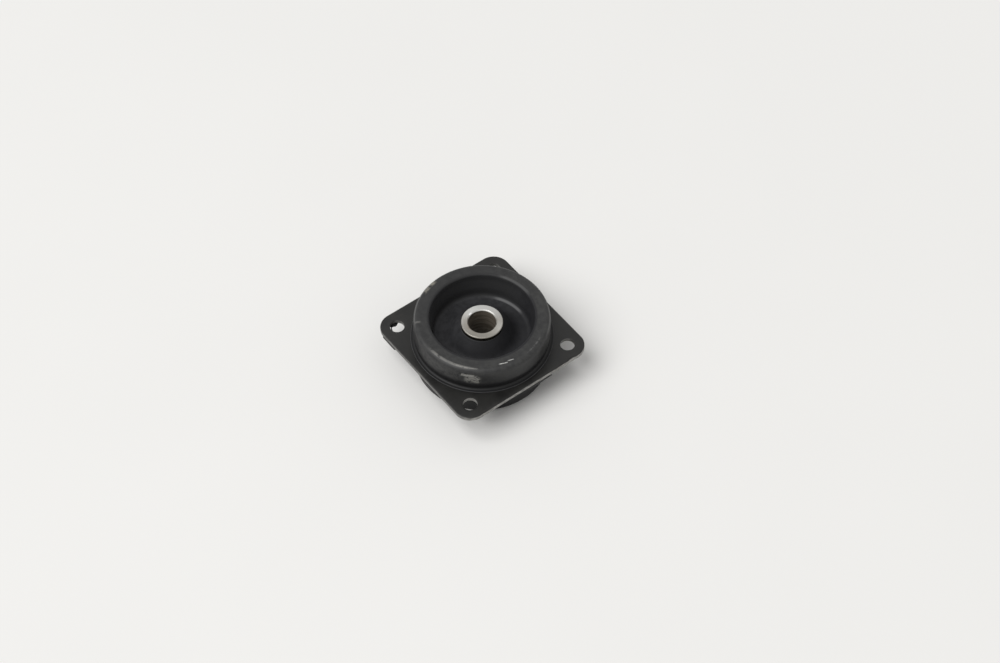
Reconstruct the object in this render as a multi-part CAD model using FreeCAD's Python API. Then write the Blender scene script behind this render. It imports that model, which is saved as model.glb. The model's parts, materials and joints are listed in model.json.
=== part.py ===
"""Square-flanged rubber-bonded engine mount: a steel plate, a rubber moulding and a steel sleeve.

The origin is on the bore axis, half way through the plate's thickness. +Z runs up the bore.
The plate's sides are square to X and Y. All sizes are in millimetres.
"""
import FreeCAD, Part
import math
import os

# Steel plate, blanked from sheet.
plate_side = 75.0
plate_thickness = 2.0
plate_corner_radius = 8.3
plate_edge_break = 0.3         # taken off the outline's upper edge by the blanking die
bolt_edge_distance = 8.25      # from a hole's centre to each of the two sides next to it
bolt_hole_diameter = 7.0
plate_window_diameter = 48.0   # the rubber passes through here

# Steel sleeve, turned from bar.
sleeve_outer_diameter = 20.5
sleeve_bore_diameter = 13.5    # clearance for the through bolt
sleeve_length = 24.0
sleeve_outer_chamfer = 0.4
sleeve_bore_chamfer = 0.5

# Rubber rings, one on each face of the plate.
ring_outer_diameter = 65.8     # across the wall, at the shoulder
ring_mouth_diameter = 49.8
upper_ring_height = 14.5       # above the plate's face
lower_ring_height = 15.7       # below the plate's underside; the loose mount stands on this ring
ring_draft_angle = 1.0         # degrees, for release from the mould
upper_shoulder_radius = 2.3
lower_shoulder_radius = 2.6
mouth_edge_radius = 0.9
neck_height = 5.0              # above the plate's face, where the wall starts to draw in
neck_depth = 0.8
foot_width = 1.4               # thin lip beyond the wall, round its base
foot_thickness = 0.5
foot_corner_radius = 0.9
rounding_error = 0.12          # roundings are made of flats that stay this close to the true curve

# Well inside each ring, and the web that joins the ring to the sleeve.
well_floor_height = 4.0        # above the plate's face, where floor and wall would meet
well_wall_angle = 13.0         # degrees from upright
well_corner_radius = 4.5
web_rise = 4.0                 # from the well's corner up to the sleeve
web_root_radius = 0.8          # where the web meets the sleeve

# Moulding flash that has crept out between the mould and the plate's underside.
flash_thickness = 1.8
flash_spread = 1.4             # beyond the foot, all round
flash_ripple = 0.35
flash_hole_clearance = 1.0     # kept clear round the bolt holes by the mould's pins
# Where flash runs out to the plate's edge: compass angle, half width in degrees, reach past the foot.
flash_runs = ((-124.2, 5.4, 18.0), (-80.6, 6.0, 7.0), (10.0, 10.8, 7.5))

half_plate = plate_thickness / 2
bolt_pitch = plate_side - 2 * bolt_edge_distance
sleeve_radius = sleeve_outer_diameter / 2
window_radius = plate_window_diameter / 2
axis_z = FreeCAD.Vector(0, 0, 1)
centre = FreeCAD.Vector(0, 0, 0)


def point(radius, height):
    """A point of a section drawn in the XZ plane."""
    return FreeCAD.Vector(radius, 0, height)


def rounding_points(here, before, after, rounding):
    """Points along a tangent arc at a corner, close enough together for the allowed error."""
    towards_before = (before - here).normalize()
    towards_after = (after - here).normalize()
    half_angle = towards_before.getAngle(towards_after) / 2
    middle = here + (towards_before + towards_after).normalize() * (rounding / math.sin(half_angle))
    start = here + towards_before * (rounding / math.tan(half_angle)) - middle
    end = here + towards_after * (rounding / math.tan(half_angle)) - middle
    turn = start.getAngle(end)
    flats = math.ceil(turn / (2 * math.acos(1 - rounding_error / rounding)))
    points = []
    for step in range(flats + 1):
        share = turn * step / flats
        spoke = start * (math.sin(turn - share) / math.sin(turn)) + end * (math.sin(share) / math.sin(turn))
        points.append(middle + spoke)
    return points


def turned(corners):
    """Solid of revolution about Z from a closed section of (radius, height, rounding) corners."""
    spots = [point(radius, height) for radius, height, rounding in corners]
    outline = []
    for index, spot in enumerate(spots):
        rounding = corners[index][2]
        if rounding == 0:
            outline.append(spot)
        else:
            following = spots[(index + 1) % len(spots)]
            outline += rounding_points(spot, spots[index - 1], following, rounding)
    face = Part.Face(Part.makePolygon(outline + outline[:1]))
    return face.revolve(centre, axis_z, 360)


def cylinder(radius, bottom, top, x=0.0, y=0.0):
    return Part.makeCylinder(radius, top - bottom, FreeCAD.Vector(x, y, bottom), axis_z)


def plate_outline():
    """Square with rounded corners, in the XY plane."""
    reach = plate_side / 2
    straight = reach - plate_corner_radius
    diagonal = straight + plate_corner_radius * math.sqrt(0.5)
    edges = []
    for turn in range(4):
        quarter = FreeCAD.Rotation(axis_z, 90 * turn)
        side = [FreeCAD.Vector(reach, -straight, 0), FreeCAD.Vector(reach, straight, 0)]
        corner = [FreeCAD.Vector(diagonal, diagonal, 0), FreeCAD.Vector(straight, reach, 0)]
        start, end, bend, finish = [quarter.multVec(spot) for spot in side + corner]
        edges.append(Part.LineSegment(start, end).toShape())
        edges.append(Part.Arc(end, bend, finish).toShape())
    return Part.Wire(edges)


def plate_blank(bottom, top):
    outline = Part.Face(plate_outline())
    outline.translate(FreeCAD.Vector(0, 0, bottom))
    return outline.extrude(FreeCAD.Vector(0, 0, top - bottom))


def bolt_places():
    half_pitch = bolt_pitch / 2
    return [(x, y) for x in (-half_pitch, half_pitch) for y in (-half_pitch, half_pitch)]


def make_mounting_plate():
    blank = plate_blank(-half_plate, half_plate)
    upper_edges = [edge for edge in blank.Edges if edge.BoundBox.ZMin > half_plate - 0.001]
    broken = blank.makeChamfer(plate_edge_break, upper_edges)
    holes = [cylinder(bolt_hole_diameter / 2, -half_plate, half_plate, x, y) for x, y in bolt_places()]
    return broken.cut(holes + [cylinder(window_radius, -half_plate, half_plate)])


def make_centre_sleeve():
    bore_radius = sleeve_bore_diameter / 2
    end = sleeve_length / 2
    shank_end = end - sleeve_outer_chamfer
    bore_end = end - sleeve_bore_chamfer
    section = [
        (bore_radius, -bore_end, 0),
        (bore_radius + sleeve_bore_chamfer, -end, 0),
        (sleeve_radius - sleeve_outer_chamfer, -end, 0),
        (sleeve_radius, -shank_end, 0),
        (sleeve_radius, shank_end, 0),
        (sleeve_radius - sleeve_outer_chamfer, end, 0),
        (bore_radius + sleeve_bore_chamfer, end, 0),
        (bore_radius, bore_end, 0),
    ]
    return turned(section)


def wall_radius(below_ring_face):
    """Radius of a ring's drafted outer wall at a distance from the ring's flat face."""
    return ring_outer_diameter / 2 + below_ring_face * math.tan(math.radians(ring_draft_angle))


def foot_radius():
    return wall_radius(upper_ring_height) + foot_width


def well_section(ring_height):
    """Rubber section on one side of the plate, from the sleeve out across the well to the ring's face."""
    wall_slope = math.tan(math.radians(well_wall_angle))
    mouth_radius = ring_mouth_diameter / 2
    floor = half_plate + well_floor_height
    ring_face = half_plate + ring_height
    corner_radius = mouth_radius - (ring_face - floor) * wall_slope
    hub_height = floor + web_rise
    root_top = hub_height + web_root_radius
    return [
        (sleeve_radius, root_top, 0),
        (sleeve_radius + web_root_radius / 4, root_top, 0),
        (sleeve_radius + web_root_radius, hub_height, web_root_radius),
        (corner_radius, floor, well_corner_radius),
        (mouth_radius, ring_face, mouth_edge_radius),
    ]


def upper_wall():
    """Rubber section from the upper ring's shoulder down to the edge of the plate's window."""
    foot_top = half_plate + foot_thickness
    return [
        (ring_outer_diameter / 2, half_plate + upper_ring_height, upper_shoulder_radius),
        (wall_radius(upper_ring_height - neck_height), half_plate + neck_height, 0),
        (wall_radius(upper_ring_height) - neck_depth, foot_top, foot_corner_radius),
        (foot_radius(), foot_top, 0),
        (foot_radius(), half_plate, 0),
        (window_radius, half_plate, 0),
    ]


def lower_wall():
    """Rubber section from the lower ring's shoulder up to the plate; flash hides its base."""
    return [
        (ring_outer_diameter / 2, -half_plate - lower_ring_height, lower_shoulder_radius),
        (wall_radius(lower_ring_height), -half_plate, 0),
        (window_radius, -half_plate, 0),
    ]


def flash_radius(angle):
    """Outer radius of the flash at a compass angle in degrees."""
    turn = math.radians(angle)
    ripple = flash_ripple * (math.sin(5 * turn) + math.sin(8 * turn + 1))
    radius = foot_radius() + flash_spread + ripple
    for run_angle, half_width, reach in flash_runs:
        offset = (angle - run_angle + 180) % 360 - 180
        radius += reach * math.exp(-((offset / half_width) ** 4))
    return radius


def make_flash():
    """Skin under the plate, from the window out, cut off at the plate's edge and round the bolt holes."""
    bottom = -half_plate - flash_thickness
    rim = []
    for angle in range(0, 360, 3):
        turn = math.radians(angle)
        radius = flash_radius(angle)
        rim.append(FreeCAD.Vector(radius * math.cos(turn), radius * math.sin(turn), bottom))
    skin = Part.Face(Part.makePolygon(rim + rim[:1])).extrude(FreeCAD.Vector(0, 0, flash_thickness))
    skin = skin.common(plate_blank(bottom, -half_plate))
    pin_radius = bolt_hole_diameter / 2 + flash_hole_clearance
    pins = [cylinder(pin_radius, bottom, -half_plate, x, y) for x, y in bolt_places()]
    return skin.cut(pins + [cylinder(window_radius, bottom, -half_plate)])


def make_rubber_body():
    upper = well_section(upper_ring_height) + upper_wall()
    lower_well = [(radius, -height, rounding) for radius, height, rounding in well_section(lower_ring_height)]
    lower = lower_well + lower_wall()
    moulding = turned(upper + lower[::-1])
    return moulding.fuse(make_flash()).removeSplitter()


def main():
    pieces = {
        "mounting_plate": make_mounting_plate(),
        "rubber_body": make_rubber_body(),
        "centre_sleeve": make_centre_sleeve(),
    }
    os.makedirs("parts", exist_ok=True)
    for name, shape in pieces.items():
        shape.exportStep("parts/" + name + ".step")
        print(name, "solids", len(shape.Solids), "volume", round(shape.Volume, 1), "valid", shape.isValid())


main()
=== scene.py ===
import json
import math
import random

import bmesh
import bpy
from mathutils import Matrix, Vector, noise
from mathutils.geometry import delaunay_2d_cdt


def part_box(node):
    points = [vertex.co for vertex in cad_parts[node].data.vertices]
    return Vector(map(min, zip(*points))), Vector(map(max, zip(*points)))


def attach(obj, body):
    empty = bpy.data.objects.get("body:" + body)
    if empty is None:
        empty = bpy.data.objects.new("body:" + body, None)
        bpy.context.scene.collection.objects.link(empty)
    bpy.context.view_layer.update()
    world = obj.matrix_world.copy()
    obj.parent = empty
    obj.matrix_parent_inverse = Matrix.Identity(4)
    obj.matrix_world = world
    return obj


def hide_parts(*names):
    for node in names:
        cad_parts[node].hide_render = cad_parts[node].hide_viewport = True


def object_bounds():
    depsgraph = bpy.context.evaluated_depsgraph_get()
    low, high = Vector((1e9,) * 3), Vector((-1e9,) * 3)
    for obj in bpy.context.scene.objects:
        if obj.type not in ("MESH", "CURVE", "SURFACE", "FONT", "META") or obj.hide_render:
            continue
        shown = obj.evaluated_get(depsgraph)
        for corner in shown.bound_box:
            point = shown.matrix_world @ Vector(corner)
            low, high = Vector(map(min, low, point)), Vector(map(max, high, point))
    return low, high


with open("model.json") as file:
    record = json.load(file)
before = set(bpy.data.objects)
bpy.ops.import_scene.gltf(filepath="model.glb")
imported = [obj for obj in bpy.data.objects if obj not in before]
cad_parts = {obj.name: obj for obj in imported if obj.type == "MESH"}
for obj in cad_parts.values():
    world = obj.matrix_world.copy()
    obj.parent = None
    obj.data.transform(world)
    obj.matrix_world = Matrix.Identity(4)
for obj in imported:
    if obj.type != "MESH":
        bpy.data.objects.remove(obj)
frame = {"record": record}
cadLow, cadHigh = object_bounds()

mm = 0.001
plateLow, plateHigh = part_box("mounting_plate")
rubberLow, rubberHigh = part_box("rubber_body")
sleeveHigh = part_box("centre_sleeve")[1]
plateReach = plateHigh.x / mm
plateTop = plateHigh.z / mm
plateUnder = plateLow.z / mm
boltMount = next(mount for mount in frame["record"]["mounts"] if mount["name"] == "plate_bolts")
halfPitch = boltMount["dims"]["spacing_x_mm"] / 2
holePlaces = [(x, y) for x in (-halfPitch, halfPitch) for y in (-halfPitch, halfPitch)]


def wave(x, y, z, size, scale, seed):
    # smooth noise between -size and size at a place in millimetres
    return size * noise.noise(Vector((x, y, z)) * scale + Vector((seed * 17.3, seed * 5.1, seed * 9.7)))


def finishMesh(name, mesh):
    obj = bpy.data.objects.new(name, mesh)
    bpy.context.scene.collection.objects.link(obj)
    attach(obj, "root")
    return obj


def finishFaces(work, mesh):
    # writes a working mesh to its mesh, smooth and with its faces pointing out
    bmesh.ops.recalc_face_normals(work, faces=work.faces)
    for face in work.faces:
        face.smooth = True
    work.to_mesh(mesh)
    work.free()
    return mesh


def roundCorners(corners, arcStep=9.0, runStep=0.6):
    # corners are (radius, height, rounding); gives a closed list of fine points
    spots = [Vector((radius, height)) for radius, height, rounding in corners]
    path = []
    for index, spot in enumerate(spots):
        rounding = corners[index][2]
        if rounding == 0:
            path.append(spot.copy())
            continue
        toBefore = (spots[index - 1] - spot).normalized()
        toAfter = (spots[(index + 1) % len(spots)] - spot).normalized()
        halfAngle = toBefore.angle(toAfter) / 2
        middle = spot + (toBefore + toAfter).normalized() * (rounding / math.sin(halfAngle))
        start = spot + toBefore * (rounding / math.tan(halfAngle)) - middle
        end = spot + toAfter * (rounding / math.tan(halfAngle)) - middle
        turn = start.angle(end)
        count = max(2, math.ceil(math.degrees(turn) / arcStep))
        for step in range(count + 1):
            share = turn * step / count
            spoke = (start * math.sin(turn - share) + end * math.sin(share)) / math.sin(turn)
            path.append(middle + spoke)
    fine = []
    for index, here in enumerate(path):
        following = path[(index + 1) % len(path)]
        pieces = max(1, math.ceil((following - here).length / runStep))
        for step in range(pieces):
            fine.append(here.lerp(following, step / pieces))
    return fine


def ringMesh(name, rows):
    # a closed ring: each row is a closed loop of points in millimetres, joined to the next row
    count = len(rows[0])
    verts = [(x * mm, y * mm, z * mm) for row in rows for x, y, z in row]
    faces = []
    for step in range(len(rows)):
        here = step * count
        there = (step + 1) % len(rows) * count
        for index in range(count):
            following = (index + 1) % count
            faces.append((here + index, there + index, there + following, here + following))
    mesh = bpy.data.meshes.new(name)
    mesh.from_pydata(verts, [], faces)
    work = bmesh.new()
    work.from_mesh(mesh)
    return finishFaces(work, mesh)


def turnedMesh(name, section, steps, shift):
    # turns a closed section about Z; shift(angle, radius, height) gives small (out, up) moves
    rows = []
    for step in range(steps):
        angle = 2 * math.pi * step / steps
        row = []
        for spot in section:
            out, up = shift(angle, spot.x, spot.y)
            radius = spot.x + out
            row.append((radius * math.cos(angle), radius * math.sin(angle), spot.y + up))
        rows.append(row)
    return ringMesh(name, rows)


def newMaterial(name):
    material = bpy.data.materials.new(name)
    material.use_nodes = True
    tree = material.node_tree
    return material, tree, tree.nodes["Principled BSDF"]


def feed(tree, socket, value):
    if isinstance(value, (int, float)):
        socket.default_value = value
    elif isinstance(value, tuple):
        socket.default_value = (*value, 1.0)
    else:
        tree.links.new(value, socket)


def maths(tree, operation, first, second=0.0, clamp=False):
    node = tree.nodes.new("ShaderNodeMath")
    node.operation = operation
    node.use_clamp = clamp
    feed(tree, node.inputs[0], first)
    feed(tree, node.inputs[1], second)
    return node.outputs[0]


def times(tree, first, *others):
    product = first
    for other in others:
        product = maths(tree, "MULTIPLY", product, other)
    return product


def mixColour(tree, share, first, second):
    node = tree.nodes.new("ShaderNodeMix")
    node.data_type = "RGBA"
    feed(tree, node.inputs[0], share)
    feed(tree, node.inputs[6], first)
    feed(tree, node.inputs[7], second)
    return node.outputs[2]


def grain(tree, place, scale, detail, rough, stretch=None):
    if stretch:
        mapping = tree.nodes.new("ShaderNodeMapping")
        mapping.inputs["Scale"].default_value = stretch
        tree.links.new(place, mapping.inputs["Vector"])
        place = mapping.outputs["Vector"]
    node = tree.nodes.new("ShaderNodeTexNoise")
    node.inputs["Scale"].default_value = scale
    node.inputs["Detail"].default_value = detail
    node.inputs["Roughness"].default_value = rough
    tree.links.new(place, node.inputs["Vector"])
    return node.outputs["Fac"]


def between(tree, value, low, high, atLow=0.0, atHigh=1.0):
    # runs softly from atLow to atHigh as the value goes from low to high, held at the ends
    node = tree.nodes.new("ShaderNodeMapRange")
    node.interpolation_type = "SMOOTHSTEP"
    feed(tree, node.inputs["Value"], value)
    node.inputs["From Min"].default_value = low
    node.inputs["From Max"].default_value = high
    node.inputs["To Min"].default_value = atLow
    node.inputs["To Max"].default_value = atHigh
    return node.outputs["Result"]


def nearTo(tree, value, middle, halfWidth, soft=0.5):
    # 1 within soft * halfWidth of the middle, falling to 0 at halfWidth
    away = maths(tree, "ABSOLUTE", maths(tree, "SUBTRACT", value, middle))
    return between(tree, away, halfWidth * soft, halfWidth, 1.0, 0.0)


def bumpFrom(tree, height, distance, strength, after=None):
    node = tree.nodes.new("ShaderNodeBump")
    node.inputs["Distance"].default_value = distance
    node.inputs["Strength"].default_value = strength
    tree.links.new(height, node.inputs["Height"])
    if after:
        tree.links.new(after, node.inputs["Normal"])
    return node.outputs["Normal"]


def distanceFrom(tree, spots, x, y):
    # distance in millimetres from an upright line
    besideX = maths(tree, "SUBTRACT", spots["x"], x)
    besideY = maths(tree, "SUBTRACT", spots["y"], y)
    square = maths(tree, "ADD", times(tree, besideX, besideX), times(tree, besideY, besideY))
    return maths(tree, "SQRT", square)


def placeSockets(tree):
    # the object's own place, and x, y, z, radius in millimetres and angle in degrees
    place = tree.nodes.new("ShaderNodeTexCoord").outputs["Object"]
    split = tree.nodes.new("ShaderNodeSeparateXYZ")
    tree.links.new(place, split.inputs[0])
    spots = {"place": place}
    for index, name in enumerate("xyz"):
        spots[name] = times(tree, split.outputs[index], 1 / mm)
    spots["angle"] = times(tree, maths(tree, "ARCTAN2", spots["y"], spots["x"]), 180.0 / math.pi)
    spots["radius"] = distanceFrom(tree, spots, 0.0, 0.0)
    return spots


plate = {
    "cornerRadius": 8.3,
    "holeRadius": 3.5,
    "windowRadius": 24.0,
    "topRoll": 0.42,                            # rounding left by the blanking die
    "holeRoll": 0.14,
    "rollSteps": 4,
    "sheared": ((0.02, 0.9), (0.06, 1.4)),      # inset and depth below the top, down the outer edge
    "edgeFoot": 0.05,                           # inset just above the under face
    "holeShear": 0.9,                           # depth where a hole's wall starts to flare
    "holeFlare": 0.03,
    "underBreak": 0.12,
    "outlineStep": 0.45,
    "cornerSteps": 26,
    "holeSteps": 72,
    "windowSteps": 160,
    "looseStep": 1.5,                           # between the loose points inside the faces
    "looseShift": 0.3,                          # share of a step by which each is moved at random
    "looseMargin": 0.9,                         # they keep this far from every edge
    "dish": 0.05,                               # how far the sheet is off flat
    "dishFade": 6.0,                            # the waver grows from nothing over this width
    # a knock at y on the +X edge, with how far it reaches in, down and up from the sheet's middle
    "nick": {"y": 25.6, "length": 4.4, "depth": 0.5, "inward": 0.9, "drop": 0.45, "from": -0.4, "rise": 1.2},
    "coatDark": (0.0062, 0.0060, 0.0056),
    "coatLight": (0.0112, 0.0108, 0.0098),
    "speck": (0.040, 0.039, 0.036),
    "streak": (0.034, 0.029, 0.020),
    "steelDark": (0.20, 0.196, 0.186),
    "steelLight": (0.36, 0.355, 0.34),
    "gloss": 0.42,
}


def plateLoop(inset):
    # closed outline of the plate, moved in by an inset
    reach = plateReach - inset
    radius = plate["cornerRadius"] - inset
    straight = reach - radius
    along = max(1, round(2 * straight / plate["outlineStep"]))
    around = plate["cornerSteps"]
    quarter = [(reach, -straight + 2 * straight * step / along) for step in range(along)]
    for step in range(around):
        bend = math.pi / 2 * step / around
        quarter.append((straight + radius * math.cos(bend), straight + radius * math.sin(bend)))
    loop = []
    for turn in range(4):
        cosTurn, sinTurn = math.cos(math.pi / 2 * turn), math.sin(math.pi / 2 * turn)
        loop += [Vector((x * cosTurn - y * sinTurn, x * sinTurn + y * cosTurn)) for x, y in quarter]
    return loop


def circleLoop(x, y, radius, count):
    bends = [2 * math.pi * step / count for step in range(count)]
    return [Vector((x + radius * math.cos(bend), y + radius * math.sin(bend))) for bend in bends]


def rolledEdge(roll):
    # inset and depth below the top, from the flat face round a quarter turn
    bends = [math.pi / 2 * step / plate["rollSteps"] for step in range(plate["rollSteps"] + 1)]
    return [(roll * (1 - math.sin(bend)), roll * (1 - math.cos(bend))) for bend in bends]


def plateRings():
    # each ring is a list of loops with heights, from the top face round an edge to the under face
    lowest = plateUnder + plate["underBreak"]
    outerEdge = rolledEdge(plate["topRoll"]) + list(plate["sheared"])
    outer = [(inset, plateTop - depth) for inset, depth in outerEdge]
    outer += [(plate["edgeFoot"], lowest), (plate["underBreak"], plateUnder)]
    rings = [[(plateLoop(inset), height) for inset, height in outer]]
    holeEdge = rolledEdge(plate["holeRoll"]) + [(0.0, plate["holeShear"])]
    hole = [(plate["holeRadius"] + inset, plateTop - depth) for inset, depth in holeEdge]
    hole.append((plate["holeRadius"] + plate["holeFlare"], lowest))
    hole.append((plate["holeRadius"] + plate["underBreak"], plateUnder))
    for x, y in holePlaces:
        rings.append([(circleLoop(x, y, radius, plate["holeSteps"]), height) for radius, height in hole])
    window = circleLoop(0, 0, plate["windowRadius"], plate["windowSteps"])
    rings.append([(window, plateTop), (window, plateUnder)])
    return rings


def insidePlate(x, y, margin):
    # true where the flat of the face lies, at least a margin from its outline, holes and window
    reach = plateReach - plate["topRoll"] - margin
    radius = plate["cornerRadius"] - plate["topRoll"] - margin
    straight = reach - radius
    cornerX, cornerY = abs(x) - straight, abs(y) - straight
    if max(abs(x), abs(y)) > reach:
        return False
    if cornerX > 0 and cornerY > 0 and math.hypot(cornerX, cornerY) > radius:
        return False
    if math.hypot(x, y) < plate["windowRadius"] + margin:
        return False
    fromHole = math.hypot(abs(x) - halfPitch, abs(y) - halfPitch)
    return fromHole > plate["holeRadius"] + plate["holeRoll"] + margin


def nickDepth(x, y, height):
    nick = plate["nick"]
    near = max(0.0, 1 - abs(y - nick["y"]) / (nick["length"] / 2))
    edge = max(0.0, 1 - (plateReach - x) / nick["inward"])
    upper = max(0.0, min(1.0, (height - nick["from"]) / nick["rise"]))
    ragged = 0.75 + wave(x, y, height, 0.35, 1.3, 5)
    return nick["depth"] * edge * upper * math.sin(near * math.pi / 2) * ragged


def plateVert(work, x, y, height):
    # the sheet wavers a little, always inward of its flat faces, and is knocked at the nick
    waver = wave(x, y, 0, plate["dish"], 0.035, 3)
    waver = min(waver, 0.0) if height > 0 else max(waver, 0.0)
    inward = nickDepth(x, y, height)
    x -= inward
    drop = inward * plate["nick"]["drop"] if height > 0 else 0.0
    edgeShare = min(1.0, max(0.0, (plateReach - max(abs(x), abs(y))) / plate["dishFade"]))
    return work.verts.new((x * mm, y * mm, (height + waver * edgeShare - drop) * mm))


def loosePlaces():
    # scattered places inside a face, so that its triangles are even
    step = plate["looseStep"]
    shift = plate["looseShift"]
    count = int(2 * plateReach / step)
    places = []
    for i in range(count + 1):
        for j in range(count + 1):
            x = -plateReach + step * (i + random.uniform(-shift, shift)) + (step / 2 if j % 2 else 0)
            y = -plateReach + step * (j + random.uniform(-shift, shift))
            if insidePlate(x, y, plate["looseMargin"]):
                places.append((x, y))
    return places


def fillFace(work, rows, height):
    # triangles over one flat face, between the loops of its outline, holes and window
    verts = [vert for row in rows for vert in row]
    spots = [Vector((vert.co.x / mm, vert.co.y / mm)) for vert in verts]
    edges = []
    start = 0
    for row in rows:
        edges += [(start + index, start + (index + 1) % len(row)) for index in range(len(row))]
        start += len(row)
    for x, y in loosePlaces():
        spots.append(Vector((x, y)))
        verts.append(plateVert(work, x, y, height))
    filled = delaunay_2d_cdt(spots, edges, [], 0, 1e-5)
    places, faces, sources = filled[0], filled[2], filled[3]
    for face in faces:
        middle = sum((places[index] for index in face), Vector((0, 0))) / len(face)
        if insidePlate(middle.x, middle.y, 0.0):
            work.faces.new([verts[sources[index][0]] for index in face])


def makePlate():
    work = bmesh.new()
    topRows, underRows = [], []
    for ring in plateRings():
        rows = [[plateVert(work, x, y, height) for x, y in loop] for loop, height in ring]
        for upper, lower in zip(rows[:-1], rows[1:]):
            for index in range(len(upper)):
                following = (index + 1) % len(upper)
                work.faces.new((upper[index], upper[following], lower[following], lower[index]))
        topRows.append(rows[0])
        underRows.append(rows[-1])
    random.seed(11)
    fillFace(work, topRows, plateTop)
    fillFace(work, underRows, plateUnder)
    loose = [vert for vert in work.verts if not vert.link_faces]
    bmesh.ops.delete(work, geom=loose, context="VERTS")
    return finishFaces(work, bpy.data.meshes.new("mounting_plate_sheet"))


def plateFinish():
    material, tree, shader = newMaterial("dullBlackCoat")
    spots = placeSockets(tree)
    coarse = grain(tree, spots["place"], 90.0, 5.0, 0.6)
    fine = grain(tree, spots["place"], 900.0, 6.0, 0.65)
    streaks = grain(tree, spots["place"], 260.0, 5.0, 0.6, stretch=(1.0, 0.22, 1.0))
    coat = mixColour(tree, between(tree, coarse, 0.35, 0.68), plate["coatDark"], plate["coatLight"])
    coat = mixColour(tree, between(tree, fine, 0.62, 0.78, 0.0, 0.35), coat, plate["speck"])
    coat = mixColour(tree, between(tree, streaks, 0.6, 0.75, 0.0, 0.3), coat, plate["streak"])
    # bare steel shows on the cut edges, more on the +X side and in the hole at +X -Y
    normal = tree.nodes.new("ShaderNodeNewGeometry").outputs["True Normal"]
    tilt = tree.nodes.new("ShaderNodeSeparateXYZ")
    tree.links.new(normal, tilt.inputs[0])
    upright = between(tree, maths(tree, "ABSOLUTE", tilt.outputs[2]), 0.55, 0.86, 1.0, 0.0)
    rubbed = grain(tree, spots["place"], 420.0, 4.0, 0.6, stretch=(1.0, 1.0, 2.2))
    sideShare = between(tree, spots["x"], 30.0, 36.0, 0.45, 1.0)
    fromHole = distanceFrom(tree, spots, halfPitch, -halfPitch)
    sideShare = maths(tree, "MAXIMUM", sideShare, between(tree, fromHole, 4.6, 4.2))
    bare = times(tree, upright, sideShare, between(tree, rubbed, 0.22, 0.44, 0.45, 1.0))
    steel = mixColour(tree, between(tree, rubbed, 0.4, 0.7), plate["steelDark"], plate["steelLight"])
    tree.links.new(mixColour(tree, bare, coat, steel), shader.inputs["Base Color"])
    tree.links.new(times(tree, bare, 0.75), shader.inputs["Metallic"])
    tree.links.new(between(tree, coarse, 0.3, 0.7, 0.34, 0.44), shader.inputs["Roughness"])
    shader.inputs["Specular IOR Level"].default_value = plate["gloss"]
    broadBump = bumpFrom(tree, coarse, 0.00008, 0.35)
    tree.links.new(bumpFrom(tree, fine, 0.00002, 0.5, after=broadBump), shader.inputs["Normal"])
    return material


plateSheet = finishMesh("mounting_plate_sheet", makePlate())
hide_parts("mounting_plate")
plateSheet.data.materials.append(plateFinish())
print("plate made", len(plateSheet.data.polygons), "faces")


rubber = {
    "sleeveRadius": sleeveHigh.x / mm,
    "mouthRadius": 25.1,
    "mouthRound": 1.1,
    "outerRadius": 32.9,
    "upperShoulder": 2.3,
    "lowerShoulder": 2.6,
    "draft": 1.0,               # degrees
    "wellFloor": 1.0,           # above the plate's face
    "wellWall": 5.7,            # degrees from upright
    "wellRound": 2.4,
    "hubFoot": 16.8,            # where the web starts to rise to the sleeve
    "hubRound": 6.0,
    "webRise": 7.0,
    "webRoot": 0.8,
    "neckHeight": 5.0,
    "neckDepth": 0.8,
    "neckRound": 0.5,
    "footWidth": 1.4,
    "footThickness": 0.5,
    "footRound": 1.1,
    "footEdge": 0.18,
    "steps": 400,
    "slowWave": (0.09, 0.09, 1),        # size in millimetres, scale and seed
    "quickWave": (0.03, 0.45, 2),
    "faceSag": (0.06, 0.07, 4),
    "skinWave": (0.03, 0.3, 6),
    "waveInset": 0.05,                  # keeps the waves inside the true outline
    "bondRadius": 34.0,                 # the foot is bonded to the plate out to here
    "faceHeight": 14.0,                 # beyond this the skin is a ring's flat face
    # the upper mouth stands a little wide and leans to one side
    "lean": {"wider": 0.3, "shift": 0.55, "toward": 142.6, "above": 7.0, "rise": 5.0,
             "inner": 22.0, "outer": 27.2, "fade": 0.9},
    "mouthMiddle": (-0.45, 0.35),       # x and y of the leaning mouth's middle, for its dust and painted light
    "skinDark": (0.0060, 0.0060, 0.0068),
    "skinLight": (0.0092, 0.0092, 0.0100),
    "speck": (0.026, 0.026, 0.025),
    "dustAndShade": (0.031, 0.031, 0.030),
    # painted light for the shaded lower ring
    "lowerShadeLift": (0.030, 0.030, 0.029),
    # well colours: dust, with painted light on the -X side and painted shade on the +X side
    "wellShadedSide": (0.0230, 0.0230, 0.0250),
    "wellLitSide": (0.0380, 0.0380, 0.0405),
    "wellClean": (0.0170, 0.0170, 0.0185),
    "wellWallLit": (0.031, 0.031, 0.032),
    # painted shade in the hollow above the foot, and a painted highlight on the foot's edge
    "hollowShade": (0.0100, 0.0100, 0.0104),
    "footEdgeHighlight": (0.050, 0.050, 0.052),
    "gloss": 0.45,
}


def wellCorners(face):
    # from the sleeve across the well to the ring's face, for one side of the plate
    floor = plateTop + rubber["wellFloor"]
    cornerRadius = rubber["mouthRadius"] - (face - floor) * math.tan(math.radians(rubber["wellWall"]))
    hub = floor + rubber["webRise"]
    rootTop = hub + rubber["webRoot"]
    sleeveRadius = rubber["sleeveRadius"]
    return [
        (sleeveRadius, rootTop, 0),
        (sleeveRadius + rubber["webRoot"] / 4, rootTop, 0),
        (sleeveRadius + rubber["webRoot"], hub, rubber["webRoot"]),
        (rubber["hubFoot"], floor, rubber["hubRound"]),
        (cornerRadius, floor, rubber["wellRound"]),
        (rubber["mouthRadius"], face, rubber["mouthRound"]),
    ]


def wallRadius(fromFace):
    # a ring's drafted outer wall at a distance from the ring's flat face
    return rubber["outerRadius"] + fromFace * math.tan(math.radians(rubber["draft"]))


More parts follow.
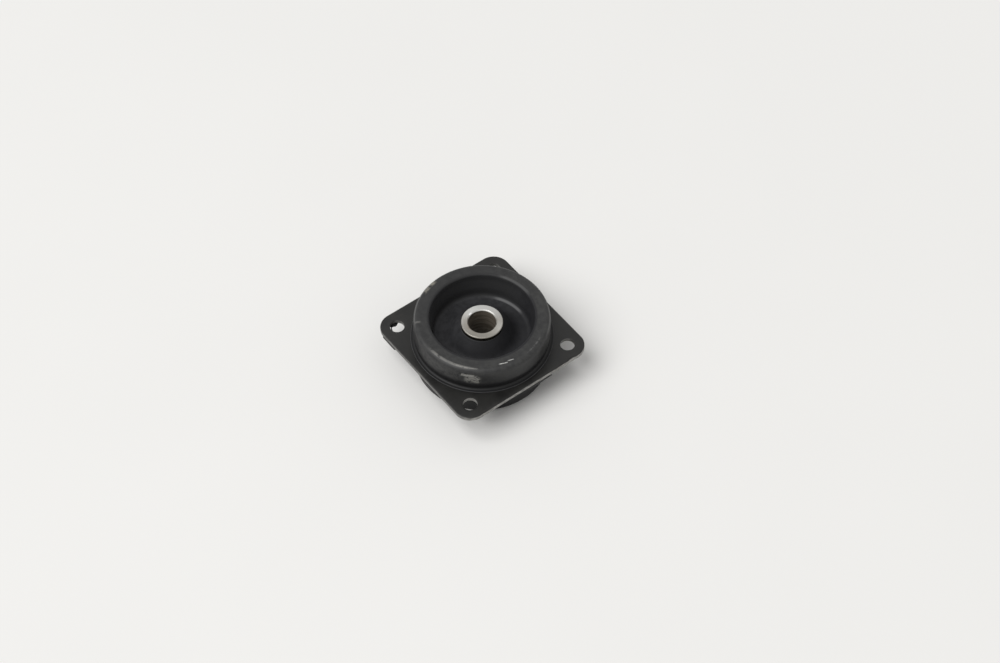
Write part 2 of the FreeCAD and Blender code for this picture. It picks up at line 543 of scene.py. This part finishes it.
def rubberSection():
    top = rubberHigh.z / mm
    bottom = -rubberLow.z / mm
    neck = plateTop + rubber["neckHeight"]
    footTop = plateTop + rubber["footThickness"]
    wallFoot = wallRadius(top - plateTop)
    upper = wellCorners(top) + [
        (rubber["outerRadius"], top, rubber["upperShoulder"]),
        (wallRadius(top - neck), neck, rubber["neckRound"]),
        (wallFoot - rubber["neckDepth"], footTop, rubber["footRound"]),
        (wallFoot + rubber["footWidth"], footTop, rubber["footEdge"]),
        (wallFoot + rubber["footWidth"], plateTop, 0),
        (plate["windowRadius"], plateTop, 0),
    ]
    lower = wellCorners(bottom) + [
        (rubber["outerRadius"], bottom, rubber["lowerShoulder"]),
        (wallRadius(bottom - plateTop), plateTop, 0),
        (plate["windowRadius"], plateTop, 0),
    ]
    mirrored = [(radius, -height, rounding) for radius, height, rounding in lower]
    return roundCorners(upper + mirrored[::-1])


def rubberShift(angle, radius, height):
    # slight waves in the moulded skin, and none where it is bonded to the steel
    x, y = radius * math.cos(angle), radius * math.sin(angle)
    atPlate = abs(height) <= plateTop + 0.001
    if radius < rubber["sleeveRadius"] + 0.05 or (atPlate and radius < rubber["bondRadius"]):
        return 0.0, 0.0
    out = wave(x, y, height, *rubber["slowWave"]) + wave(x, y, height, *rubber["quickWave"])
    if abs(height) > rubber["faceHeight"]:
        up = -abs(wave(x, y, 0, *rubber["faceSag"]))
    else:
        up = wave(x, y, height, *rubber["skinWave"])
    if height < 0:
        up = -up
    if atPlate:
        up = 0.0
    lean = rubber["lean"]
    if height > lean["above"] and lean["inner"] < radius < lean["outer"]:
        share = min(1.0, (height - lean["above"]) / lean["rise"])
        share *= min(1.0, (lean["outer"] - radius) / lean["fade"])
        out += share * (lean["wider"] + lean["shift"] * math.cos(angle - math.radians(lean["toward"])))
    return out - rubber["waveInset"], up


flash = {
    "inner": 31.0,
    "thickness": 1.8,
    "thinnest": 0.72,           # share of the thickness away from the runs
    "spread": 1.4,              # beyond the foot
    "ripple": 0.35,
    "pinGap": 0.75,             # kept clear round the bolt holes
    "edgeInset": 0.05,
    "steps": 720,
    "shares": (0.0, 0.35, 0.65, 0.85),      # of the way out, where each face has its points
    "lipTop": (0.12, 0.02),                 # inset and depth of the lip's upper corner
    "lip": ((0.0, 0.3), (0.02, 0.65), (0.22, 0.95)),     # inset and share of the thickness
    "edgeWave": (0.35, 0.25, 7),            # size, scale and seed
    "thickWave": (0.15, 0.3, 8),
    "underWave": (0.08, 0.6, 9),
    "waveRadius": 40,                       # where the first two waves are read
    # compass angle, half width in degrees and reach of the stretches that run to the plate's edge
    "runs": ((-124.2, 5.4, 18.0), (-80.6, 6.0, 7.0), (10.0, 10.8, 7.5)),
}


def flashEdge(degrees):
    # how far the flash reaches at an angle, and how much of a run is there
    turn = math.radians(degrees)
    cosTurn, sinTurn = math.cos(turn), math.sin(turn)
    foot = wallRadius(rubberHigh.z / mm - plateTop) + rubber["footWidth"]
    radius = foot + flash["spread"] + flash["ripple"] * (math.sin(5 * turn) + math.sin(8 * turn + 1))
    radius += wave(cosTurn * flash["waveRadius"], sinTurn * flash["waveRadius"], 0, *flash["edgeWave"])
    swell = 0.0
    for middle, halfWidth, length in flash["runs"]:
        offset = (degrees - middle + 180) % 360 - 180
        share = math.exp(-((offset / halfWidth) ** 4))
        radius += length * share
        swell = max(swell, share)
    radius = min(radius, (plateReach - flash["edgeInset"]) / max(abs(cosTurn), abs(sinTurn)))
    gap = plate["holeRadius"] + flash["pinGap"]
    for x, y in holePlaces:
        along = x * cosTurn + y * sinTurn
        aside = abs(x * sinTurn - y * cosTurn)
        if along > 0 and aside < gap:
            radius = min(radius, along - math.sqrt(gap * gap - aside * aside))
    return radius, swell


def makeFlash():
    # thin skin squeezed out under the plate, with a few runs that reach the plate's edge
    rows = []
    for step in range(flash["steps"]):
        degrees = 360.0 * step / flash["steps"]
        turn = math.radians(degrees)
        cosTurn, sinTurn = math.cos(turn), math.sin(turn)
        radius, swell = flashEdge(degrees)
        thick = flash["thickness"] * (flash["thinnest"] + (1 - flash["thinnest"]) * swell)
        thick += wave(cosTurn * flash["waveRadius"], sinTurn * flash["waveRadius"], 3, *flash["thickWave"])
        places = [flash["inner"] + (radius - flash["inner"]) * share for share in flash["shares"]]
        profile = [(place, plateUnder) for place in places]
        profile.append((radius - flash["lipTop"][0], plateUnder - flash["lipTop"][1]))
        profile += [(radius - inset, plateUnder - share * thick) for inset, share in flash["lip"]]
        for place in places[::-1]:
            ripple = wave(cosTurn * place, sinTurn * place, 5, *flash["underWave"])
            profile.append((place, plateUnder - thick + ripple))
        rows.append([(place * cosTurn, place * sinTurn, height) for place, height in profile])
    return ringMesh("flash_skin", rows)


# scraps of flash left in the hole at -X -Y: a small lump and a thin strand
rags = {
    "lump": (-33.3, -28.6, -2.0),
    "lumpSize": (1.5, 2.1, 0.7),
    "lumpSwell": 1.2,           # the most that its height swells
    "strand": ((-33.4, -28.9), (-32.6, -30.1), (-31.6, -31.1), (-29.6, -31.9), (-28.6, -33.2)),
    "strandHeight": -1.75,
    "strandRadius": 0.26,
    "strandSteps": 8,
    "strandSides": 10,
}


def smoothPath(points, steps):
    # a smooth curve through all the points
    path = []
    for index in range(len(points) - 1):
        before = points[max(0, index - 1)]
        here, there = points[index], points[index + 1]
        after = points[min(len(points) - 1, index + 2)]
        for step in range(steps):
            share = step / steps
            bend = (2 * before - 5 * here + 4 * there - after) * share ** 2
            twist = (3 * here - before - 3 * there + after) * share ** 3
            path.append(0.5 * (2 * here + (there - before) * share + bend + twist))
    path.append(points[-1])
    return path


def addLump(work):
    bmesh.ops.create_icosphere(work, subdivisions=4, radius=1.0)
    middle, size = Vector(rags["lump"]), rags["lumpSize"]
    for vert in work.verts:
        x, y, z = vert.co
        swell = 1 + wave(x, y, z, 0.3, 1.6, 12) + wave(x, y, z, 0.12, 4.5, 13)
        upSwell = min(swell, rags["lumpSwell"])
        vert.co = (middle + Vector((x * size[0] * swell, y * size[1] * swell, z * size[2] * upSwell))) * mm


def addStrand(work):
    points = [Vector((x, y, rags["strandHeight"])) for x, y in rags["strand"]]
    path = smoothPath(points, rags["strandSteps"])
    sides = rags["strandSides"]
    loops = []
    for index, spot in enumerate(path):
        ahead = path[min(index + 1, len(path) - 1)] - path[max(index - 1, 0)]
        across = Vector((-ahead.y, ahead.x, 0)).normalized()
        radius = rags["strandRadius"] * (1 + wave(spot.x, spot.y, 0, 0.35, 1.4, 14))
        bends = [2 * math.pi * side / sides for side in range(sides)]
        spokes = [across * math.cos(bend) + Vector((0, 0, math.sin(bend))) for bend in bends]
        loops.append([work.verts.new((spot + spoke * radius) * mm) for spoke in spokes])
    for first, second in zip(loops[:-1], loops[1:]):
        for side in range(sides):
            following = (side + 1) % sides
            work.faces.new((first[side], first[following], second[following], second[side]))
    work.faces.new(loops[0])
    work.faces.new(loops[-1][::-1])


def makeHoleRags():
    work = bmesh.new()
    addLump(work)
    addStrand(work)
    return finishFaces(work, bpy.data.meshes.new("hole_rags"))


# a mark runs "spread" degrees each way from "angle", on a band of radius or height;
# "above" and "beyond" are the least height and radius, and "broken" is how much noise eats it
rubberMarks = [
    # light caught on the well's corner and on the far lip of the mouth
    {"angle": 107, "spread": 24, "on": "radius", "at": 22.7, "width": 0.85,
     "strength": 0.9, "colour": (0.12, 0.12, 0.122), "above": 1.5},
    {"angle": 104, "spread": 24, "on": "radius", "at": 26.5, "width": 0.9,
     "strength": 0.6, "colour": (0.10, 0.10, 0.10), "above": 12.0},
    # rubbed shoulder
    {"angle": -67, "spread": 26, "on": "radius", "at": 31.0, "width": 0.9,
     "strength": 0.95, "colour": (0.145, 0.142, 0.134), "above": 8.0, "broken": 0.41},
    {"angle": -52, "spread": 14, "on": "radius", "at": 31.1, "width": 0.4,
     "strength": 0.5, "colour": (0.30, 0.29, 0.27), "above": 8.0, "broken": 0.5},
    # white scratches on the ring's face
    {"angle": -17, "spread": 5.5, "on": "radius", "at": 29.6, "width": 0.34, "lean": 0.04,
     "strength": 1.0, "colour": (0.60, 0.60, 0.58), "above": 8.0, "broken": 0.46},
    {"angle": -9, "spread": 4.5, "on": "radius", "at": 29.2, "width": 0.3, "lean": 0.06,
     "strength": 0.8, "colour": (0.55, 0.55, 0.53), "above": 8.0, "broken": 0.44},
    {"angle": 18, "spread": 12, "on": "radius", "at": 30.3, "width": 0.5,
     "strength": 0.5, "colour": (0.13, 0.13, 0.125), "above": 8.0, "broken": 0.5},
    # scraped patches on the outer wall
    {"angle": -49, "spread": 9, "on": "z", "at": 11.8, "width": 1.2, "fine": True, "beyond": 32.0,
     "strength": 1.0, "colour": (0.29, 0.285, 0.265), "above": 4.0, "broken": 0.49},
    {"angle": -45, "spread": 8, "on": "z", "at": 9.0, "width": 3.0, "fine": True, "beyond": 32.0,
     "strength": 0.9, "colour": (0.25, 0.245, 0.225), "above": 4.0, "broken": 0.47},
    {"angle": -68, "spread": 34, "on": "z", "at": 9.5, "width": 4.5, "fine": True, "beyond": 32.0,
     "strength": 0.35, "colour": (0.065, 0.065, 0.063), "above": 4.0, "broken": 0.48},
    # tan blotch, worn outer edge and a tick across the shoulder
    {"angle": -163, "spread": 10, "on": "radius", "at": 31.4, "width": 1.4,
     "strength": 0.9, "colour": (0.21, 0.20, 0.17), "above": 8.0, "broken": 0.44},
    {"angle": -142, "spread": 30, "on": "radius", "at": 32.25, "width": 0.5,
     "strength": 0.5, "colour": (0.12, 0.12, 0.118), "above": 9.0},
    {"angle": 55, "spread": 24, "on": "radius", "at": 32.4, "width": 0.4,
     "strength": 0.45, "colour": (0.12, 0.12, 0.118), "above": 9.0},
    {"angle": -121.5, "spread": 1.3, "on": "radius", "at": 30.8, "width": 1.9,
     "strength": 0.5, "colour": (0.15, 0.148, 0.14), "above": 8.0},
]


def worn(tree, spots, mark, eaten):
    # share of one rubbed mark, a stretch of angle crossed by a narrow band of radius or height
    across = spots[mark["on"]]
    if "lean" in mark:
        offset = times(tree, maths(tree, "SUBTRACT", spots["angle"], mark["angle"]), mark["lean"])
        across = maths(tree, "SUBTRACT", across, offset)
    along = nearTo(tree, spots["angle"], mark["angle"], mark["spread"], 0.55)
    band = nearTo(tree, across, mark["at"], mark["width"], 0.3)
    mask = times(tree, along, band, between(tree, spots["z"], mark["above"], mark["above"] + 0.4))
    if "beyond" in mark:
        mask = times(tree, mask, between(tree, spots["radius"], mark["beyond"] - 0.3, mark["beyond"]))
    if "broken" in mark:
        mask = times(tree, mask, between(tree, eaten, mark["broken"] - 0.06, mark["broken"] + 0.06))
    return maths(tree, "MULTIPLY", mask, mark["strength"], clamp=True)


def rubberFinish():
    material, tree, shader = newMaterial("mouldedBlackRubber")
    spots = placeSockets(tree)
    coarse = grain(tree, spots["place"], 70.0, 5.0, 0.6)
    fine = grain(tree, spots["place"], 700.0, 6.0, 0.65)
    patchy = grain(tree, spots["place"], 260.0, 5.0, 0.7)
    specks = grain(tree, spots["place"], 520.0, 5.0, 0.75)
    base = mixColour(tree, between(tree, coarse, 0.34, 0.68), rubber["skinDark"], rubber["skinLight"])
    # the wells have a thin, patchy film of dust, and are painted lighter toward -X and on the -X part of
    # their wall, as painted light for the light that falls from that side
    fromMouth = distanceFrom(tree, spots, *rubber["mouthMiddle"])
    inWell = between(tree, fromMouth, 26.9, 26.1)
    wellDustAndLight = mixColour(tree, between(tree, spots["x"], 8.0, -12.0), rubber["wellShadedSide"], rubber["wellLitSide"])
    wellDustAndLight = mixColour(tree, between(tree, patchy, 0.40, 0.62, 0.0, 0.55), wellDustAndLight, rubber["wellClean"])
    # painted light: the well's wall is lighter on the -X side
    onWall = times(tree, between(tree, spots["x"], 6.0, -14.0), between(tree, spots["radius"], 22.6, 23.6))
    wellDustAndLight = mixColour(tree, onWall, wellDustAndLight, rubber["wellWallLit"])
    base = mixColour(tree, inWell, base, wellDustAndLight)
    # the lower ring is made lighter all round, painted light that lifts its shaded wall
    base = mixColour(tree, between(tree, spots["z"], -1.5, -4.0), base, rubber["lowerShadeLift"])
    base = mixColour(tree, between(tree, fine, 0.62, 0.8, 0.0, 0.4), base, rubber["speck"])
    # painted shade: the hollow above the foot is kept free of specks and dull; painted highlight: the foot's
    # thin edge is made light
    hollowShade = times(tree, between(tree, spots["z"], 5.5, 2.5), between(tree, spots["radius"], 30.0, 31.0))
    base = mixColour(tree, hollowShade, base, rubber["hollowShade"])
    onFoot = times(tree, between(tree, spots["radius"], 34.22, 34.36), between(tree, spots["z"], 1.0, 1.1))
    base = mixColour(tree, onFoot, base, rubber["footEdgeHighlight"])
    # dust lies on the ring's face and shoulder, and hardly any in the wells; it is thinned toward -X as
    # painted shade, evening out the brighter light on that side
    dustPlaceAndShade = times(
        tree,
        between(tree, spots["radius"], 25.9, 26.8),
        between(tree, spots["z"], 5.0, 8.0),
        # painted shade: less dust toward -X
        between(tree, spots["x"], -30.0, 12.0, 0.55, 1.0),
        between(tree, spots["radius"], 32.2, 32.9, 1.0, 0.7),
    )
    dustAndShade = times(tree, dustPlaceAndShade, between(tree, patchy, 0.36, 0.66, 0.2, 0.9))
    colour = mixColour(tree, dustAndShade, base, rubber["dustAndShade"])
    for mark in rubberMarks:
        mask = worn(tree, spots, mark, specks if "fine" in mark else patchy)
        colour = mixColour(tree, mask, colour, mark["colour"])
    tree.links.new(colour, shader.inputs["Base Color"])
    rough = maths(tree, "ADD", between(tree, coarse, 0.3, 0.7, 0.42, 0.52), times(tree, dustAndShade, 0.12))
    tree.links.new(rough, shader.inputs["Roughness"])
    # the wells are dulled, and the hollow above the foot is dulled as painted shade
    dull = maths(tree, "MAXIMUM", times(tree, inWell, 0.31), times(tree, hollowShade, 0.2))
    tree.links.new(maths(tree, "SUBTRACT", rubber["gloss"], dull), shader.inputs["Specular IOR Level"])
    broadBump = bumpFrom(tree, coarse, 0.00010, 0.4)
    tree.links.new(bumpFrom(tree, fine, 0.00003, 0.5, after=broadBump), shader.inputs["Normal"])
    return material


rubberMaterial = rubberFinish()
ringTurned = turnedMesh("rubber_ring_body", rubberSection(), rubber["steps"], rubberShift)
ringBody = finishMesh("rubber_ring_body", ringTurned)
flashSkin = finishMesh("flash_skin", makeFlash())
holeRags = finishMesh("hole_rags", makeHoleRags())
for piece in (ringBody, flashSkin, holeRags):
    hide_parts("rubber_body")
    piece.data.materials.append(rubberMaterial)
    print(piece.name, "made", len(piece.data.polygons), "faces")


sleeve = {
    "boreRadius": 6.75,
    "outerChamfer": 0.4,
    "boreChamfer": 0.5,
    "edgeRound": 0.1,
    "grooveDepth": 0.012,
    "steps": 256,
    "steelDark": (0.36, 0.35, 0.325),
    "steelLight": (0.47, 0.455, 0.425),
    "stain": (0.31, 0.285, 0.245),
    "rust": (0.24, 0.19, 0.13),
    # painted light and painted shade on the end face
    "paintedLitSide": (0.66, 0.66, 0.64),
    "paintedShadeSide": (0.27, 0.25, 0.215),
    # painted highlight colour
    "glint": (0.95, 0.95, 0.94),
    "boreDark": (0.10, 0.085, 0.065),
    "boreLight": (0.19, 0.165, 0.135),
    "outside": (0.11, 0.10, 0.075),
}


def sleeveSection():
    end = sleeveHigh.z / mm
    outer = sleeveHigh.x / mm
    bore = sleeve["boreRadius"]
    soft = sleeve["edgeRound"]
    half = [
        (bore, end - sleeve["boreChamfer"], soft),
        (bore + sleeve["boreChamfer"], end, soft),
        (outer - sleeve["outerChamfer"], end, soft),
        (outer, end - sleeve["outerChamfer"], soft),
    ]
    lower = [(radius, -height, rounding) for radius, height, rounding in half]
    return roundCorners(half + lower[::-1], arcStep=15.0, runStep=0.14)


def sleeveShift(angle, radius, height):
    # turning grooves: rings on the end faces, and the tool's feed down the bore
    end = sleeveHigh.z / mm
    outer = sleeveHigh.x / mm
    bore = sleeve["boreRadius"]
    if abs(height) > end - 0.01 and bore + 0.7 < radius < outer - 0.55:
        ring = 0.6 + 0.4 * math.sin(radius * 31.0) + wave(radius * 3, 0, 0, 0.5, 1.0, 20)
        cut = sleeve["grooveDepth"] * ring
        return 0.0, -cut if height > 0 else cut
    if radius < bore + 0.01 and abs(height) < end - 0.7:
        return sleeve["grooveDepth"] * 0.8 * math.sin(height * 9.0), 0.0
    return 0.0, 0.0


def sleeveFinish():
    material, tree, shader = newMaterial("turnedBareSteel")
    spots = placeSockets(tree)
    coarse = grain(tree, spots["place"], 160.0, 5.0, 0.6)
    fine = grain(tree, spots["place"], 1100.0, 4.0, 0.6)
    # rings that follow the cutting tool
    ringPlace = tree.nodes.new("ShaderNodeCombineXYZ")
    feed(tree, ringPlace.inputs[0], times(tree, spots["radius"], 0.9))
    feed(tree, ringPlace.inputs[1], times(tree, spots["angle"], 0.004))
    feed(tree, ringPlace.inputs[2], spots["z"])
    rings = grain(tree, ringPlace.outputs[0], 5.0, 3.0, 0.6)
    feedLines = grain(tree, ringPlace.outputs[0], 1.6, 2.0, 0.5)
    steel = mixColour(tree, between(tree, rings, 0.35, 0.65), sleeve["steelDark"], sleeve["steelLight"])
    steel = mixColour(tree, between(tree, coarse, 0.45, 0.7, 0.0, 0.5), steel, sleeve["stain"])
    rusty = times(
        tree,
        nearTo(tree, spots["angle"], -75.0, 45.0, 0.3),
        between(tree, spots["radius"], 8.6, 6.9),
        between(tree, coarse, 0.42, 0.6, 0.0, 0.8),
    )
    steel = mixColour(tree, rusty, steel, sleeve["rust"])
    # painted light: the face is brighter toward -X +Y and painted shade makes it duller across from it, for
    # how the light falls on it
    toward = maths(tree, "SUBTRACT", times(tree, spots["y"], 0.61), times(tree, spots["x"], 0.79))
    towardPaintedLight = maths(tree, "DIVIDE", toward, spots["radius"])
    steel = mixColour(tree, between(tree, towardPaintedLight, 0.1, 0.95, 0.0, 0.75), steel, sleeve["paintedLitSide"])
    steel = mixColour(tree, between(tree, towardPaintedLight, -0.3, -1.0, 0.0, 0.6), steel, sleeve["paintedShadeSide"])
    # painted highlight: a glint on the bore's chamfer toward -X
    glint = times(tree, nearTo(tree, spots["angle"], -166.0, 9.0), nearTo(tree, spots["radius"], 7.25, 0.4))
    steel = mixColour(tree, glint, steel, sleeve["glint"])
    fromMiddle = maths(tree, "ABSOLUTE", spots["z"])
    inBore = times(tree, between(tree, spots["radius"], 7.05, 6.85), between(tree, fromMiddle, 11.7, 11.3))
    boreSkin = mixColour(tree, between(tree, feedLines, 0.4, 0.6), sleeve["boreDark"], sleeve["boreLight"])
    steel = mixColour(tree, inBore, steel, boreSkin)
    outside = between(tree, spots["radius"], 10.0, 10.22, 0.0, 0.8)
    steel = mixColour(tree, outside, steel, sleeve["outside"])
    tree.links.new(steel, shader.inputs["Base Color"])
    dulled = maths(tree, "MAXIMUM", times(tree, rusty, 0.6), times(tree, inBore, 0.8))
    tree.links.new(maths(tree, "SUBTRACT", 1.0, dulled, clamp=True), shader.inputs["Metallic"])
    tree.links.new(between(tree, coarse, 0.3, 0.7, 0.34, 0.48), shader.inputs["Roughness"])
    shader.inputs["Anisotropic"].default_value = 0.55
    roundAxis = tree.nodes.new("ShaderNodeTangent")
    roundAxis.direction_type = "RADIAL"
    roundAxis.axis = "Z"
    tree.links.new(roundAxis.outputs[0], shader.inputs["Tangent"])
    ringBump = bumpFrom(tree, rings, 0.00002, 0.6)
    tree.links.new(bumpFrom(tree, fine, 0.00001, 0.4, after=ringBump), shader.inputs["Normal"])
    return material


sleeveTurned = turnedMesh("turned_sleeve", sleeveSection(), sleeve["steps"], sleeveShift)
sleeveTube = finishMesh("turned_sleeve", sleeveTurned)
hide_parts("centre_sleeve")
sleeveTube.data.materials.append(sleeveFinish())
print("sleeve made", len(sleeveTube.data.polygons), "faces")


studio = {
    "floorColour": (0.862, 0.855, 0.838),
    "floorFade": 0.05,          # share by which the floor is darkened toward its back, painted shade for the light falling off there
    "fadeReach": 0.35,
    "floorReach": 6.0,
    "floorGrid": 24,
    "worldColour": (1.0, 0.998, 0.99),
    "worldStrength": 0.47,
    "worldSeen": 0.8,           # as seen by the camera and in reflections
    "sunStrength": 2.12,
    "sunSpread": 50.0,          # degrees across, so the shadow is soft
    "sunFrom": (-0.22, -0.97, 1.55),
    "sunDistance": 1.5,
}


def floorFinish():
    material, tree, shader = newMaterial("paleFloor")
    place = tree.nodes.new("ShaderNodeTexCoord").outputs["Object"]
    soft = grain(tree, place, 8.0, 2.0, 0.5)
    split = tree.nodes.new("ShaderNodeSeparateXYZ")
    tree.links.new(place, split.inputs[0])
    # painted shade: the floor is darkened toward +Y, with soft random patches
    away = between(tree, split.outputs[1], -studio["fadeReach"], studio["fadeReach"])
    fade = maths(tree, "ADD", away, between(tree, soft, 0.3, 0.7, 0.0, 0.15), clamp=True)
    darker = tuple(part * (1 - studio["floorFade"]) for part in studio["floorColour"])
    tree.links.new(mixColour(tree, fade, studio["floorColour"], darker), shader.inputs["Base Color"])
    shader.inputs["Roughness"].default_value = 1.0
    shader.inputs["Specular IOR Level"].default_value = 0.0
    return material


def makeFloor():
    mesh = bpy.data.meshes.new("floor")
    work = bmesh.new()
    count = studio["floorGrid"]
    bmesh.ops.create_grid(work, x_segments=count, y_segments=count, size=studio["floorReach"])
    for vert in work.verts:
        vert.co.z = cadLow.z
    work.to_mesh(mesh)
    work.free()
    floor = bpy.data.objects.new("floor", mesh)
    bpy.context.scene.collection.objects.link(floor)
    mesh.materials.append(floorFinish())


def makeLights():
    world = bpy.data.worlds.new("softRoom")
    bpy.context.scene.world = world
    world.use_nodes = True
    tree = world.node_tree
    background = tree.nodes["Background"]
    background.inputs["Color"].default_value = (*studio["worldColour"], 1.0)
    path = tree.nodes.new("ShaderNodeLightPath").outputs
    seen = maths(tree, "MAXIMUM", path["Is Glossy Ray"], path["Is Transmission Ray"])
    seen = maths(tree, "MAXIMUM", path["Is Camera Ray"], seen)
    strength = between(tree, seen, 0.0, 1.0, studio["worldStrength"], studio["worldSeen"])
    tree.links.new(strength, background.inputs["Strength"])
    sun = bpy.data.lights.new("softWindow", "SUN")
    sun.energy = studio["sunStrength"]
    sun.angle = math.radians(studio["sunSpread"])
    lamp = bpy.data.objects.new("softWindow", sun)
    lamp.rotation_mode = "QUATERNION"
    lamp.rotation_quaternion = Vector(studio["sunFrom"]).to_track_quat("Z", "Y")
    lamp.location = Vector(studio["sunFrom"]).normalized() * studio["sunDistance"]
    bpy.context.scene.collection.objects.link(lamp)


cameraSetup = {
    "azimuth": 52.6,            # degrees, as for elevation
    "elevation": 52.35,
    "distance": 1252.2,         # millimetres, as for right and up
    "right": 8.6,
    "up": 2.43,
    "lens": 93.6,
    "sensor": 36.0,
    "near": 0.05,               # metres, as for far
    "far": 50.0,
}


def makeCamera():
    azimuth = math.radians(cameraSetup["azimuth"])
    elevation = math.radians(cameraSetup["elevation"])
    flat = math.cos(elevation)
    back = Vector((math.sin(azimuth) * flat, -math.cos(azimuth) * flat, math.sin(elevation)))
    right = Vector((math.cos(azimuth), math.sin(azimuth), 0))
    up = back.cross(right)
    camera = bpy.data.objects.new("camera", bpy.data.cameras.new("camera"))
    camera.data.lens = cameraSetup["lens"]
    camera.data.sensor_width = cameraSetup["sensor"]
    camera.data.clip_start = cameraSetup["near"]
    camera.data.clip_end = cameraSetup["far"]
    aside = right * cameraSetup["right"] + up * cameraSetup["up"]
    camera.location = (aside + back * cameraSetup["distance"]) * mm
    camera.rotation_mode = "QUATERNION"
    camera.rotation_quaternion = back.to_track_quat("Z", "Y")
    bpy.context.scene.collection.objects.link(camera)
    bpy.context.scene.camera = camera


makeFloor()
makeLights()
makeCamera()
bpy.context.scene.view_settings.view_transform = "Standard"
print("studio made")
